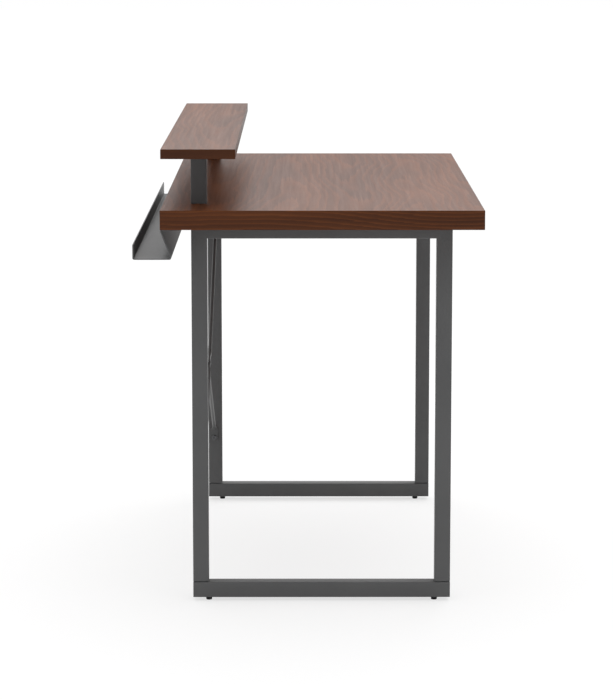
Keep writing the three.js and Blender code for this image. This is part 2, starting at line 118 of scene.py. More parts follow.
# Fixings. Holes are given by their radius.
ACCESS_HOLE = 6.5 * MM  # lets the head of a frame screw into its tube
SCREW_HOLE = 2.9 * MM
BOLT_HOLE = 3.4 * MM  # round a brace screw or the stud of a foot
RIVET_HOLE = 2.9 * MM
BOLT_THREAD = (3 * MM, 1 * MM, 0)  # a brace screw's shank radius, pitch and length of point
WOOD_THREAD = (2.5 * MM, 1.6 * MM, 6 * MM)  # the same of a wood screw
PLAIN_SHANK = 1.5 * MM  # between a screw's head and its thread
THREAD_ROOT = 0.8  # radius between the turns of a screw's thread, as a share of its shank
SCREW_TIP = 0.2  # radius of a screw's tip, as a share of its shank
HEAD_HEIGHT = 0.62  # this and the next two are shares of the head's radius
HEAD_EDGE = 0.06
HEAD_UNDERSIDE = 0.985
DOME_STEPS = 8
RIVET_FULLNESS = 0.8  # a lower figure makes a fuller dome
SCREW_FULLNESS = 0.55
HEX_RECESS = 2 * MM  # radius of the hexagon, and its depth too
CROSS_REACH = 0.5  # of a cross recess, as a share of the head's radius
CROSS_DEPTH = 1.6 * MM
CROSS_WING = 0.28  # half the width of a wing, as a share of its reach
CROSS_BOTTOM = 0.6  # size of the cross at its bottom, as a share of its mouth
CROSS_OVER = 1.02  # size of its cutter over the head

# Feet
FOOT_SIDES = 96
FOOT_EDGE = 0.6 * MM  # rounding of its edges
FOOT_EDGE_STEPS = 4
FOOT_INSET = 0.6 * MM  # how far the base is set in from the side
FOOT_SOCKET = 4.5 * MM  # depth of the socket for the stud
FOOT_CHAMFER = 0.3 * MM  # at the mouth of that socket
FLUTES = 16
FLUTE_DEPTH = 0.05  # as a share of the radius
THREAD_PITCH = 1 * MM  # this and the next three are of a foot's stud
THREAD_DEPTH = 0.45 * MM
THREAD_SIDES = 24
THREAD_ROWS = 6  # rings of points to a turn


# ---------------------------------------------------------------- materials


class Shader:
    """A material's nodes, with short calls to add and join them."""

    def __init__(self, name):
        self.material = bpy.data.materials.new(name)
        self.material.use_nodes = True
        self.tree = self.material.node_tree
        self.surface = self.tree.nodes["Principled BSDF"]
        self.place = self.tree.nodes.new("ShaderNodeTexCoord").outputs["Object"]
        self.axes = None

    def put(self, socket, value):
        if isinstance(value, bpy.types.NodeSocket):
            self.tree.links.new(value, socket)
        else:
            socket.default_value = value

    def math(self, operation, *values):
        node = self.tree.nodes.new("ShaderNodeMath")
        node.operation = operation
        for socket, value in zip(node.inputs, values):
            self.put(socket, value)
        return node.outputs[0]

    def axis(self, index):
        if self.axes is None:
            node = self.tree.nodes.new("ShaderNodeSeparateXYZ")
            self.put(node.inputs[0], self.place)
            self.axes = node.outputs
        return self.axes[index]

    def stretched(self, scale, shift):
        node = self.tree.nodes.new("ShaderNodeMapping")
        self.put(node.inputs["Vector"], self.place)
        self.put(node.inputs["Location"], shift)
        self.put(node.inputs["Scale"], scale)
        return node.outputs[0]

    def noise(self, place, scale=1.0, detail=2.0, roughness=0.5):
        node = self.tree.nodes.new("ShaderNodeTexNoise")
        self.put(node.inputs["Vector"], place)
        self.put(node.inputs["Scale"], scale)
        self.put(node.inputs["Detail"], detail)
        self.put(node.inputs["Roughness"], roughness)
        return node.outputs["Fac"]

    def ramp(self, value, stops, interpolation="LINEAR"):
        """Stops are (place, grey or colour) pairs."""
        node = self.tree.nodes.new("ShaderNodeValToRGB")
        elements = node.color_ramp.elements
        node.color_ramp.interpolation = interpolation
        while len(elements) < len(stops):
            elements.new(0.5)
        for element, (position, colour) in zip(elements, stops):
            element.position = position
            element.color = (*colour, 1) if isinstance(colour, tuple) else (colour,) * 3 + (1,)
        self.put(node.inputs["Fac"], value)
        return node.outputs["Color"]

    def spread(self, value, low, high):
        """Turns 0..1 into low..high."""
        node = self.tree.nodes.new("ShaderNodeMapRange")
        self.put(node.inputs["Value"], value)
        self.put(node.inputs["To Min"], low)
        self.put(node.inputs["To Max"], high)
        return node.outputs["Result"]

    def bump(self, height, distance):
        """Relief on the surface, distance deep where height goes from 0 to 1."""
        node = self.tree.nodes.new("ShaderNodeBump")
        self.put(node.inputs["Distance"], distance)
        self.put(node.inputs["Height"], height)
        self.put(self.surface.inputs["Normal"], node.outputs["Normal"])

    def set(self, **values):
        """Fills the surface's own sockets and gives the finished material."""
        for name, value in values.items():
            self.put(self.surface.inputs[name.replace("_", " ")], value)
        return self.material


SEED_SHIFT = (1.37, 2.11, 0.73)  # how far a seed of 1 moves a face through the noise
RING_SWAY = 0.2  # how deep the rings bow under a face, as a share of the figure's width
RING_TONES = ((0, 0.72), (0.5, 0.6), (0.84, 0.12), (0.93, 0), (1, 0.72))  # across one ring
PORE_TONES = ((0.0, 0.0), (0.6, 0.0), (0.7, 1.0))
PORE_RELIEF = -0.7  # a pore goes in, as a share of how far a fibre stands out
GRIT_TINT, GRIT_RELIEF = 0.25, 0.35  # how much the grit of a powder coat adds to each
FRAYED_BY_STREAKS, FRAYED_BY_FIBRES = 0.7, 0.6  # how many rings wide the edge of a ring frays
FULL_DEPTH = 0.82  # what the tone and the lines of the rings darken the wood by, together
STREAK_DEPTH, FIBRE_DEPTH, PORE_DEPTH = 0.2, 0.08, 0.08  # what each of these adds to that
WALNUT_COLOURS = (
    (0.30, (0.142, 0.0430, 0.0115)),
    (0.50, (0.102, 0.0298, 0.0077)),
    (0.68, (0.066, 0.0188, 0.0054)),
    (0.88, (0.034, 0.0102, 0.0040)),
)


def walnut(name, along, across, cut, shade, seed):
    """Walnut laminate. along and across are the axes of its grain, cut says how its growth rings
    meet the face and how glossy it is, shade scales its colours, which paints in light and shade
    face by face, and seed is where in the wood it lies, so that no two faces are alike."""
    shader = Shader(name)
    figure = cut["figure"]

    def grain(length_scale, width_scale):
        """Coordinates for a noise with so many spots to a metre along the grain and across it."""
        scale = [width_scale] * 3
        scale[along] = length_scale
        return shader.stretched(scale, [seed * step for step in SEED_SHIFT])

    wander = shader.noise(grain(1.6, 0.6 / figure), detail=1)
    ripple = shader.noise(grain(3.2, 2.5 / figure), detail=2, roughness=0.55)
    turn = shader.math("MULTIPLY_ADD", shader.axis(across), 2 * math.pi / figure, cut["start"])
    turn = shader.math("MULTIPLY_ADD", wander, cut["wander"], turn)
    height = shader.math("MULTIPLY", shader.math("COSINE", turn), RING_SWAY * figure)
    height = shader.math("MULTIPLY_ADD", shader.axis(along), cut["slope"], height)
    height = shader.math("MULTIPLY_ADD", ripple, cut["ripple"], height)
    tone = shader.noise(grain(1.3, 1 / cut["tone"]), detail=2)
    streaks = shader.noise(grain(3.5, 150), detail=3, roughness=0.6)
    fibres = shader.noise(grain(12, 800), detail=2)
    age = shader.math("DIVIDE", height, cut["ring"])
    for layer, frayed in ((streaks, FRAYED_BY_STREAKS), (fibres, FRAYED_BY_FIBRES)):
        age = shader.math("MULTIPLY_ADD", layer, frayed, age)
    saw = shader.math("FRACT", age)
    rings = shader.ramp(saw, RING_TONES, "EASE")
    pores = shader.noise(grain(60, 1800), detail=1)
    pore = shader.ramp(pores, PORE_TONES)

    lines = cut["lines"]
    depth = shader.math("MULTIPLY", rings, lines)
    weights = (
        (tone, FULL_DEPTH - lines),
        (streaks, STREAK_DEPTH),
        (fibres, FIBRE_DEPTH),
        (pore, PORE_DEPTH),
    )
    for layer, weight in weights:
        depth = shader.math("MULTIPLY_ADD", layer, weight, depth)
    stops = [(at, tuple(shade * c for c in colour)) for at, colour in WALNUT_COLOURS]
    colour = shader.ramp(depth, stops)
    relief = shader.math("MULTIPLY_ADD", pore, PORE_RELIEF, fibres)
    shader.bump(relief, distance=0.03 * MM)
    roughness = shader.spread(streaks, low=0.34, high=0.46)
    return shader.set(Base_Color=colour, Roughness=roughness, IOR=cut["ior"])


def powder_coat():
    """Grey powder coat, with the fine ripple that it cures with."""
    shader = Shader("graphite powder coat")
    cloud = shader.noise(shader.place, scale=9, detail=3)
    ripple = shader.noise(shader.place, scale=650, detail=2)
    grit = shader.noise(shader.place, scale=2600, detail=1)
    dark, light = (0.097, 0.0975, 0.0985), (0.1115, 0.112, 0.113)
    tint = shader.math("MULTIPLY_ADD", grit, GRIT_TINT, cloud)
    colour = shader.ramp(tint, ((0.3, dark), (0.9, light)))
    relief = shader.math("MULTIPLY_ADD", grit, GRIT_RELIEF, ripple)
    shader.bump(relief, distance=0.035 * MM)
    roughness = shader.spread(ripple, low=0.38, high=0.48)
    return shader.set(Base_Color=colour, Roughness=roughness, IOR=1.22)


def black_plastic():
    """Moulded black nylon, with a fine spark-eroded grain."""
    shader = Shader("black nylon")
    grain = shader.noise(shader.place, scale=1900, detail=3)
    cloud = shader.noise(shader.place, scale=120, detail=2)
    dark, light = (0.005, 0.005, 0.006), (0.010, 0.010, 0.011)
    colour = shader.ramp(cloud, ((0.3, dark), (0.7, light)))
    shader.bump(grain, distance=0.05 * MM)
    roughness = shader.spread(grain, low=0.45, high=0.62)
    return shader.set(Base_Color=colour, Roughness=roughness, IOR=1.3)


def plated_steel(name, dark, light, rough):
    """Plated steel, slightly clouded, with the fine marks of tumbling."""
    shader = Shader(name)
    cloud = shader.noise(shader.place, scale=160, detail=3)
    marks = shader.noise(shader.place, scale=1400, detail=4, roughness=0.7)
    colour = shader.ramp(cloud, ((0.3, dark), (0.7, light)))
    shader.bump(marks, distance=0.02 * MM)
    roughness = shader.spread(marks, low=rough, high=rough + 0.18)
    return shader.set(Base_Color=colour, Roughness=roughness, Metallic=1.0)


X_AXIS, Y_AXIS, Z_AXIS = 0, 1, 2
COAT = powder_coat()
NYLON = black_plastic()
BLACK_STEEL = plated_steel("black plated steel", (0.075, 0.075, 0.078), (0.12, 0.12, 0.125), 0.3)
ZINC = plated_steel("zinc plated steel", (0.48, 0.49, 0.52), (0.62, 0.63, 0.65), 0.25)
# How the growth rings meet a face. figure is how wide a cathedral is and start is where in one
# the face begins, wander and ripple are how far the rings sway, slope is how fast the face runs
# out of a ring along the grain, ring is how thick a ring is and lines how strongly its pale line
# shows, tone is how wide a dark or pale stretch of wood is, and ior is the gloss of the face.
FLAT_SAWN = {
    "figure": 0.25, "start": 0.4, "wander": 3.2, "ripple": 0.032, "slope": 0.04, "ring": 0.019,
    "lines": 0.24, "tone": 0.11, "ior": 1.185,
}
EDGE_SAWN = {
    "figure": 0.4, "start": 0.7, "wander": 2.2, "ripple": 0.028, "slope": 0.01, "ring": 0.009,
    "lines": 0.34, "tone": 0.03, "ior": 1.24,
}
# Painted light and shade: one laminate, paler on the tops, darker on the bands and on the shelf.
WALNUT = {
    "tabletop": walnut("walnut top", X_AXIS, Y_AXIS, FLAT_SAWN, 1.27, 3.1),
    "shelf": walnut("walnut shelf", X_AXIS, Y_AXIS, FLAT_SAWN, 1.16, 7.7),
}
END_BAND = {
    "tabletop": walnut("walnut end band", Y_AXIS, Z_AXIS, EDGE_SAWN, 0.86, 5.2),
    "shelf": walnut("walnut shelf end band", Y_AXIS, Z_AXIS, EDGE_SAWN, 0.66, 9.4),
}
LONG_BAND = {
    "tabletop": walnut("walnut long band", X_AXIS, Z_AXIS, EDGE_SAWN, 0.82, 1.9),
    "shelf": walnut("walnut shelf long band", X_AXIS, Z_AXIS, EDGE_SAWN, 0.74, 4.4),
}


# ---------------------------------------------------------------- meshes


def as_object(name, bm):
    """The mesh bm as an object, its points welded and its faces turned outwards."""
    bmesh.ops.remove_doubles(bm, verts=bm.verts, dist=WELD_DISTANCE)
    bmesh.ops.recalc_face_normals(bm, faces=bm.faces)
    mesh = bpy.data.meshes.new(name)
    bm.to_mesh(mesh)
    bm.free()
    obj = bpy.data.objects.new(name, mesh)
    bpy.context.scene.collection.objects.link(obj)
    return obj


def bake_modifiers(obj):
    """Gives obj the mesh that its modifiers make of it, and takes them off."""
    graph = bpy.context.evaluated_depsgraph_get()
    made = bpy.data.meshes.new_from_object(obj.evaluated_get(graph))
    obj.modifiers.clear()
    obj.data = made


def carve(obj, cutters):
    """Takes each cutter's shape out of obj."""
    for cutter in cutters:
        cut = obj.modifiers.new("cut", "BOOLEAN")
        cut.operation = "DIFFERENCE"
        cut.solver = "EXACT"
        cut.object = cutter
    bake_modifiers(obj)
    for cutter in cutters:
        bpy.data.objects.remove(cutter)


def place(obj, material, slot, body, stands_for):
    """Makes obj a piece of the desk, shaded smooth but for its corners."""
    obj.data.materials.clear()
    obj.data.materials.append(material)
    obj.data.shade_smooth()
    obj.data.set_sharp_from_angle(angle=SHARP_ANGLE)
    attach(obj, body)
    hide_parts(*stands_for)


def quarter_turn(steps):
    """The angles of a quarter turn, from 0 to 90 degrees."""
    return [math.pi / 2 * step / steps for step in range(steps + 1)]


def loft(bm, rings):
    """Faces between rings of points, each with as many points. The end rings are closed."""
    rows = [[bm.verts.new(point) for point in ring] for ring in rings]
    for lower, upper in zip(rows, rows[1:]):
        for i in range(len(lower)):
            j = (i + 1) % len(lower)
            bm.faces.new((lower[i], lower[j], upper[j], upper[i]))
    bm.faces.new(rows[0])
    bm.faces.new(rows[-1])


def rounded_square(side, radius):
    """Corners of a square with round corners, round its middle."""
    arc = side / 2 - radius
    points = []
    for quarter, (x, y) in enumerate(((arc, arc), (-arc, arc), (-arc, -arc), (arc, -arc))):
        for step in range(CORNER_STEPS + 1):
            angle = math.pi / 2 * (quarter + step / CORNER_STEPS)
            points.append((x + radius * math.cos(angle), y + radius * math.sin(angle)))
    return points


def circle(radius, sides, start=0.0):
    angles = [start + 2 * math.pi * i / sides for i in range(sides)]
    return [(radius * math.cos(angle), radius * math.sin(angle)) for angle in angles]


def turned(name, profile, sides=ROUND_SIDES, flute=None):
    """A profile of (radius, height) pairs turned about Z, its ends closed. flute is the radius
    beyond which it is fluted, the depth of the flutes as a share of the radius, and how many."""
    bm = bmesh.new()
    rings = []
    for radius, height in profile:
        radius = max(radius, AXIS_RADIUS)
        ring = circle(radius, sides)
        if flute and radius > flute[0]:
            _, depth, count = flute
            waves = [math.cos(count * 2 * math.pi * i / sides) for i in range(sides)]
            shares = [1 - depth * (0.5 - 0.5 * wave) for wave in waves]
            ring = [(x * share, y * share) for (x, y), share in zip(ring, shares)]
        rings.append([(x, y, height) for x, y in ring])
    loft(bm, rings)
    return as_object(name, bm)


def prism(name, outline, low, high):
    """An outline in X and Y, from one height to another."""
    bm = bmesh.new()
    loft(bm, [[(x, y, height) for x, y in outline] for height in (low, high)])
    return as_object(name, bm)


def move(obj, matrix):
    obj.data.transform(matrix)
    return obj


def centre(node):
    low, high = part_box(node)
    return (low + high) / 2


# ---------------------------------------------------------------- tubes


def hollow(bm, stations):
    """A tube from stations, which are (outer ring, inner ring) pairs."""
    outer = [[bm.verts.new(point) for point in ring] for ring, _ in stations]
    inner = [[bm.verts.new(point) for point in ring] for _, ring in stations]
    count = len(outer[0])
    for i in range(count):
        j = (i + 1) % count
        for a, b in zip(outer, outer[1:]):
            bm.faces.new((a[i], a[j], b[j], b[i]))
        for a, b in zip(inner, inner[1:]):
            bm.faces.new((a[j], a[i], b[i], b[j]))
        bm.faces.new((outer[0][j], outer[0][i], inner[0][i], inner[0][j]))
        bm.faces.new((outer[-1][i], outer[-1][j], inner[-1][j], inner[-1][i]))


def tube_sections(side):
    """A tube's outer face, its bore, and its outer face where a sawn end is deburred."""
    outer = rounded_square(side, TUBE_CORNER)
    inner = rounded_square(side - 2 * TUBE_WALL, TUBE_INNER_CORNER)
    sawn = rounded_square(side - 2 * SAWN_EDGE, TUBE_CORNER)
    return outer, inner, sawn


def straight_tube(name, side, low, high, to_world):
    """A tube between two heights, turned into place by to_world(a, b, height)."""
    outer, inner, sawn = tube_sections(side)
    levels = (
        (sawn, low),
        (outer, low + SAWN_EDGE),
        (outer, high - SAWN_EDGE),
        (sawn, high),
    )
    stations = [
        ([to_world(a, b, h) for a, b in ring], [to_world(a, b, h) for a, b in inner])
        for ring, h in levels
    ]
    bm = bmesh.new()
    hollow(bm, stations)
    return as_object(name, bm)


def drill(position, radius, low, high, axis="Z"):
    """A round cutter on a line through position, from low to high along its axis."""
    cutter = prism("cutter", circle(radius, ROUND_SIDES), low, high)
    turn = {
        "X": Matrix.Rotation(math.pi / 2, 4, "Y"),
        "Y": Matrix.Rotation(math.pi / 2, 4, "X"),
        "Z": Matrix.Identity(4),
    }[axis]
    return move(cutter, Matrix.Translation(position) @ turn)


def frame_arch(side, sign):
    """The two legs and the top rail of a side frame, mitred, welded and ground smooth."""
    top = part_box(f"{side}_top_rail")
    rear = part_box(f"{side}_rear_leg")
    width = rear[1].x - rear[0].x
    half = width / 2
    x = centre(f"{side}_rear_leg").x
    middle = centre(f"{side}_top_rail").y
    leg_out = (rear[0].y + rear[1].y) / 2 - middle
    rail_z = top[1].z - half
    foot_z = rear[0].z
    seam_z = foot_z + SEAM_HEIGHT
    outer, inner, sawn = tube_sections(width)
    neck = rounded_square(width - 2 * SEAM_DEPTH, TUBE_INNER_CORNER)
    neck_bore = rounded_square(width - 2 * (SEAM_DEPTH + TUBE_WALL), TUBE_INNER_CORNER)

    def corner(ring, angle, round_off):
        """Where each point of the section lies in the rear corner, as (a, outwards, height)."""
        points = []
        for a, s in ring:
            radius = round_off * (s + half) / width
            points.append(
                (
                    a,
                    leg_out + s - radius + radius * math.cos(angle),
                    rail_z + s - radius + radius * math.sin(angle),
                )
            )
        return points

    def leg_end(ring, height):
        return [(a, leg_out + s, height) for a, s in ring]

    half_arch = [
        (leg_end(neck, foot_z), leg_end(neck_bore, foot_z)),
        (leg_end(neck, seam_z), leg_end(neck_bore, seam_z)),
        (leg_end(sawn, seam_z), leg_end(inner, seam_z + SAWN_EDGE)),
        (leg_end(outer, seam_z + SAWN_EDGE), leg_end(inner, seam_z + 2 * SAWN_EDGE)),
    ]
    for angle in quarter_turn(MITRE_STEPS):
        half_arch.append((corner(outer, angle, MITRE_ROUND), corner(inner, angle, 0)))

    def at(points, way):
        return [(x + a, middle + way * out, height) for a, out, height in points]

    stations = [(at(o, 1), at(i, 1)) for o, i in half_arch]
    stations += [(at(o, -1), at(i, -1)) for o, i in reversed(half_arch)]
    bm = bmesh.new()
    hollow(bm, stations)
    arch = as_object(f"{side}_frame_arch", bm)

    cutters = []
    for index in FRAME_SCREWS:
        spot = centre(f"{side}_frame_screw_{index}")
        spot.z = rail_z
        cutters.append(drill(spot, ACCESS_HOLE, -width, 0))
        cutters.append(drill(spot, SCREW_HOLE, 0, width))
    for level in LEVELS:
        spot = centre(f"brace_screw_{side}_{level}")
        spot.x = x - sign * half
        cutters.append(drill(spot, BOLT_HOLE, -2 * TUBE_WALL, 2 * TUBE_WALL, "X"))
    carve(arch, cutters)
    nodes = [f"{side}_top_rail", f"{side}_front_leg", f"{side}_rear_leg"]
    place(arch, COAT, "powder_coat", "desk", nodes)


def bottom_rail(side):
    """The rail that the legs stand on, with a hole for the stud of each foot."""
    low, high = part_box(f"{side}_bottom_rail")
    x, z = (low.x + high.x) / 2, (low.z + high.z) / 2
    width = high.z - low.z
    rail = straight_tube(
        f"{side}_floor_rail", width, low.y, high.y, lambda a, b, h: (x + a, h, z - b)
    )
    cutters = []
    for end, _ in ENDS:
        spot = centre(f"{side}_{end}_foot_stud")
        spot.z = low.z
        cutters.append(drill(spot, BOLT_HOLE, -2 * TUBE_WALL, 2 * TUBE_WALL))
    carve(rail, cutters)
    place(rail, COAT, "powder_coat", "desk", [f"{side}_bottom_rail"])


def shelf_post(side):
    low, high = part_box(f"{side}_shelf_post")
    x, y = (low.x + high.x) / 2, (low.y + high.y) / 2
    post = straight_tube(
        f"{side}_post", high.x - low.x, low.z, high.z, lambda a, b, h: (x + a, y + b, h)
    )
    place(post, COAT, "powder_coat", "desk", [f"{side}_shelf_post"])


def rail_plug(side, end, to_end):
    """A plug in the end of a rail: a cup with an eased rim and a slightly crowned face."""
    name = f"{side}_{end}_rail_plug"
    low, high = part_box(name)
    x, z = (low.x + high.x) / 2, (low.z + high.z) / 2
    width = high.x - low.x
    face = high.y if to_end > 0 else low.y
    mouth = low.y if to_end > 0 else high.y
    bore = width - 2 * PLUG_WALL
    levels = [(bore, face - to_end * PLUG_WALL), (bore, mouth), (width, mouth)]
    for angle in quarter_turn(PLUG_RIM_STEPS):
        size = width - 2 * PLUG_RIM * (1 - math.cos(angle))
        depth = PLUG_CROWN + PLUG_RIM * (1 - math.sin(angle))
        levels.append((size, face - to_end * depth))
    levels.append((width * PLUG_MIDDLE, face))
    rings = [
        [(x + a, y, z + b) for a, b in rounded_square(size, PLUG_CORNER)] for size, y in levels
    ]
    bm = bmesh.new()
    loft(bm, rings)
    plug = as_object(f"{side}_{end}_end_plug", bm)
    place(plug, NYLON, "black_plastic", "desk", [name])


# ---------------------------------------------------------------- boards


def edge_band(board, edge, material):
    """A band along one edge of a board, its outer edges trimmed round."""
    node = f"{board}_{edge}_edge"
    low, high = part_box(node)
    middle = (low + high) / 2
    bm = bmesh.new()
    bmesh.ops.create_cube(bm, size=1)
    bmesh.ops.scale(bm, vec=high - low, verts=bm.verts)
    bmesh.ops.translate(bm, vec=middle, verts=bm.verts)
    out = {
        "left": lambda v: v.x < middle.x,
        "right": lambda v: v.x > middle.x,
        "front": lambda v: v.y < middle.y,
        "rear": lambda v: v.y > middle.y,
    }[edge]
    outer = [e for e in bm.edges if all(out(v.co) for v in e.verts)]
    if edge in ("left", "right"):
        # The long bands cover the ends of these, so only their upper and lower edges are round.
        outer = [e for e in outer if abs(e.verts[0].co.y - e.verts[1].co.y) > MM]
    bmesh.ops.bevel(
        bm, geom=outer, offset=BAND_ROUND, segments=BAND_STEPS, profile=0.5, affect="EDGES"
    )
    band = as_object(f"{board}_{edge}_band", bm)
    place(band, material, "walnut_laminate", "desk", [node])


def dress_board(name):
    """The figure on a board's core, and its four bands."""
    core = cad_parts[f"{name}_core"]
    core.data.materials.clear()
    core.data.materials.append(WALNUT[name])
    for edge in ("left", "right"):
        edge_band(name, edge, END_BAND[name])
    for edge in ("front", "rear"):
        edge_band(name, edge, LONG_BAND[name])


# ---------------------------------------------------------------- cross brace


def mixed(a, b, share):
    return a + (b - a) * share


def eased(share):
    """0 to 1, with a slow start and a slow end."""
    return share * share * (3 - 2 * share)


def rod_stations(tab_x, low_z, middle_z):
    """Half of a rod, from the tip of its lower tab to the crossing, in the plane of the brace.
    Each station is (place, way, thickness in the plane, thickness across it, squareness)."""
    area = math.pi / 4 * ROD**2
    tab_width = area / ROD_TAB
    pad_width = area / ROD_PAD
    up = Vector((0, 1))
    corner = Vector((-tab_x, low_z + TAB_NECK - middle_z))
    along = -corner.normalized()
    turn = math.acos(up.dot(along))
    setback = BEND_RADIUS * math.tan(turn / 2)
    start = corner - up * setback
    end = corner + along * setback
    pivot = start + Vector((BEND_RADIUS, 0))
    tip = Vector((-tab_x, low_z - TAB_TAIL - middle_z))
    stations = []
    for step in range(TIP_STEPS + 1):
        angle = mixed(TIP_START, math.pi / 2, step / TIP_STEPS)
        spot = tip + up * (tab_width / 2 * (1 - math.cos(angle)))
        stations.append((spot, up, ROD_TAB, tab_width * math.sin(angle), PRESSED))
    for step in range(BEND_STEPS + 1):
        share = step / BEND_STEPS
        turned_by = Matrix.Rotation(-turn * share, 2)
        spot = pivot + turned_by @ (start - pivot)
        in_plane = mixed(ROD_TAB, ROD, BEND_SHARE * eased(share))
        across = mixed(tab_width, ROD, BEND_SHARE * eased(share))
        squareness = mixed(PRESSED, BEND_SQUARENESS, share)
        stations.append((spot, turned_by @ up, in_plane, across, squareness))
    bent_in_plane, bent_across = in_plane, across
    for step in range(1, NECK_STEPS + 1):
        share = step / NECK_STEPS
        spot = end + along * (NECK_LENGTH * share)
        in_plane = mixed(bent_in_plane, ROD, math.sin(math.pi / 2 * share))
        across = mixed(bent_across, ROD, math.sin(math.pi / 2 * share))
        squareness = mixed(BEND_SQUARENESS, ROUND, share)
        stations.append((spot, along, in_plane, across, squareness))
    for step in range(PAD_STEPS + 1):
        share = step / PAD_STEPS
        spot = -along * (PAD_REACH + PAD_TAPER * (1 - share))
        in_plane = mixed(ROD, pad_width, eased(share))
        across = mixed(ROD, ROD_PAD, eased(share))
        squareness = mixed(ROUND, PRESSED, eased(share))
        stations.append((spot, along, in_plane, across, squareness))
    return stations


def superellipse(width, height, squareness):
    """A section that is an ellipse at a squareness of 2 and nears a rectangle at higher ones."""
    power = 2 / squareness
    points = []
    for x, y in circle(1, ROD_SIDES, math.pi / ROD_SIDES):
        bend_x = math.copysign(abs(x) ** power, x) * width / 2
        bend_y = math.copysign(abs(y) ** power, y) * height / 2
        points.append((bend_x, bend_y))
    return points


def brace_rod(index):
    """A round rod, flattened to a tab at each end and to a pad where it crosses the other. The
    second rod is the first one turned half way round about the upright line through its middle."""
    node = f"brace_rod_{index}"
    low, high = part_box(node)
    middle_x, middle_z = (low.x + high.x) / 2, (low.z + high.z) / 2
    lower_side, upper_side, half_turn = {
        1: ("left", "right", 1),
        2: ("right", "left", -1),
    }[index]
    low_z = centre(f"brace_screw_{lower_side}_lower").z
    plane_y = centre(f"brace_screw_{lower_side}_lower").y
    tab_x = (high.x - low.x) / 2 - ROD_TAB / 2
    half = rod_stations(tab_x, low_z, middle_z)
    rest = [(-spot, *more) for spot, *more in reversed(half)]
    rings = []
    for spot, way, in_plane, across, squareness in half + rest:
        ring = []
        for out, side in superellipse(in_plane, across, squareness):
            ring.append(
                (
                    middle_x + half_turn * (spot.x - way.y * out),
                    plane_y - half_turn * side,
                    middle_z + spot.y + way.x * out,
                )
            )
        rings.append(ring)
    bm = bmesh.new()
    loft(bm, rings)
    rod = as_object(f"brace_bar_{index}", bm)
    cutters = [drill((middle_x, plane_y, middle_z), RIVET_HOLE, -ROD, ROD, "Y")]
    for side, level in ((lower_side, "lower"), (upper_side, "upper")):
        hole = centre(f"brace_screw_{side}_{level}")
        hole.x = -tab_x if side == "left" else tab_x
        cutters.append(drill(hole, BOLT_HOLE, -ROD, ROD, "X"))
    carve(rod, cutters)
    place(rod, COAT, "powder_coat", "desk", [node])


def dome(radius, height, fullness):
    """The profile of a domed head, from its top almost to its edge, where the height is 0."""
    angles = quarter_turn(DOME_STEPS)[:-1]
    return [(radius * math.sin(a), height * math.cos(a) ** fullness) for a in angles]


def rivet():
    """The rivet through both rods, a domed head on each side."""
    low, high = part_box("brace_rivet")
    spot = (low + high) / 2
    head = (high.x - low.x) / 2
    reach = (high.y - low.y) / 2
    grip = reach - RIVET_DOME
    upper = [(radius, grip + rise) for radius, rise in dome(head, RIVET_DOME, RIVET_FULLNESS)]
    upper += [(head, grip + RIVET_EDGE * RIVET_DOME), (head, grip), (RIVET_SHANK, grip)]
    lower = [(radius, -height) for radius, height in reversed(upper)]
    made = turned("crossing_rivet", upper + lower)
    move(made, Matrix.Translation(spot) @ Matrix.Rotation(math.pi / 2, 4, "X"))
    place(made, BLACK_STEEL, "black_steel", "desk", ["brace_rivet"])


# ---------------------------------------------------------------- screws and feet


def cross_recess(radius, depth):
    """The cutter of a cross recess: four tapered wings."""
    wing = CROSS_WING * radius
    outline = [
        (radius, -wing), (radius, wing), (wing, wing), (wing, radius),
        (-wing, radius), (-wing, wing), (-radius, wing), (-radius, -wing),
        (-wing, -wing), (-wing, -radius), (wing, -radius), (wing, -wing),
    ]
    levels = ((CROSS_BOTTOM, depth), (1, 0), (CROSS_OVER, -depth))
    bm = bmesh.new()
    loft(bm, [[(x * share, y * share, z) for x, y in outline] for share, z in levels])
    return as_object("cutter", bm)


def hex_recess(radius, depth):
    return prism("cutter", circle(radius, 6), -depth, depth)


def screw(name, node, thread, recess, into_place):
    """A domed screw with its thread and its recess. into_place moves it from its own frame, in
    which its head lies below z = 0 and its shank above."""
    low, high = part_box(node)
    head_width, _, length = sorted((high - low)[:])
    head = head_width / 2
    head_height = HEAD_HEIGHT * head
    shank, pitch, point = thread
    root = THREAD_ROOT * shank
    tip = length - head_height
    profile = dome(head, -head_height, SCREW_FULLNESS)
    profile += [(head, -HEAD_EDGE * head), (head * HEAD_UNDERSIDE, 0)]
    profile += [(shank, 0), (shank, PLAIN_SHANK)]
    height = PLAIN_SHANK
    while height + pitch < tip - point:
        profile += [(root, height + 0.5 * pitch), (shank, height + pitch)]
        height += pitch
    profile += [(root, height + 0.5 * pitch), (SCREW_TIP * shank, tip)]
    made = turned(name, profile)
    carve(made, [move(recess, Matrix.Translation((0, 0, -head_height)))])
    return move(made, into_place)


def brace_screws():
    """The screws that hold the rods' tabs to the rear legs, their heads inside."""
    for side, sign in SIDES:
        for level in LEVELS:
            node = f"brace_screw_{side}_{level}"
            low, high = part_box(node)
            spot = (low + high) / 2
            radius = (high.z - low.z) / 2
            head_face = high.x if side == "left" else low.x
            spot.x = head_face + sign * HEAD_HEIGHT * radius
            turn = Matrix.Rotation(sign * math.pi / 2, 4, "Y")
            pose = Matrix.Translation(spot) @ turn
            recess = hex_recess(HEX_RECESS, HEX_RECESS)
            bolt = screw(f"brace_bolt_{side}_{level}", node, BOLT_THREAD, recess, pose)
            place(bolt, BLACK_STEEL, "black_steel", "desk", [node])


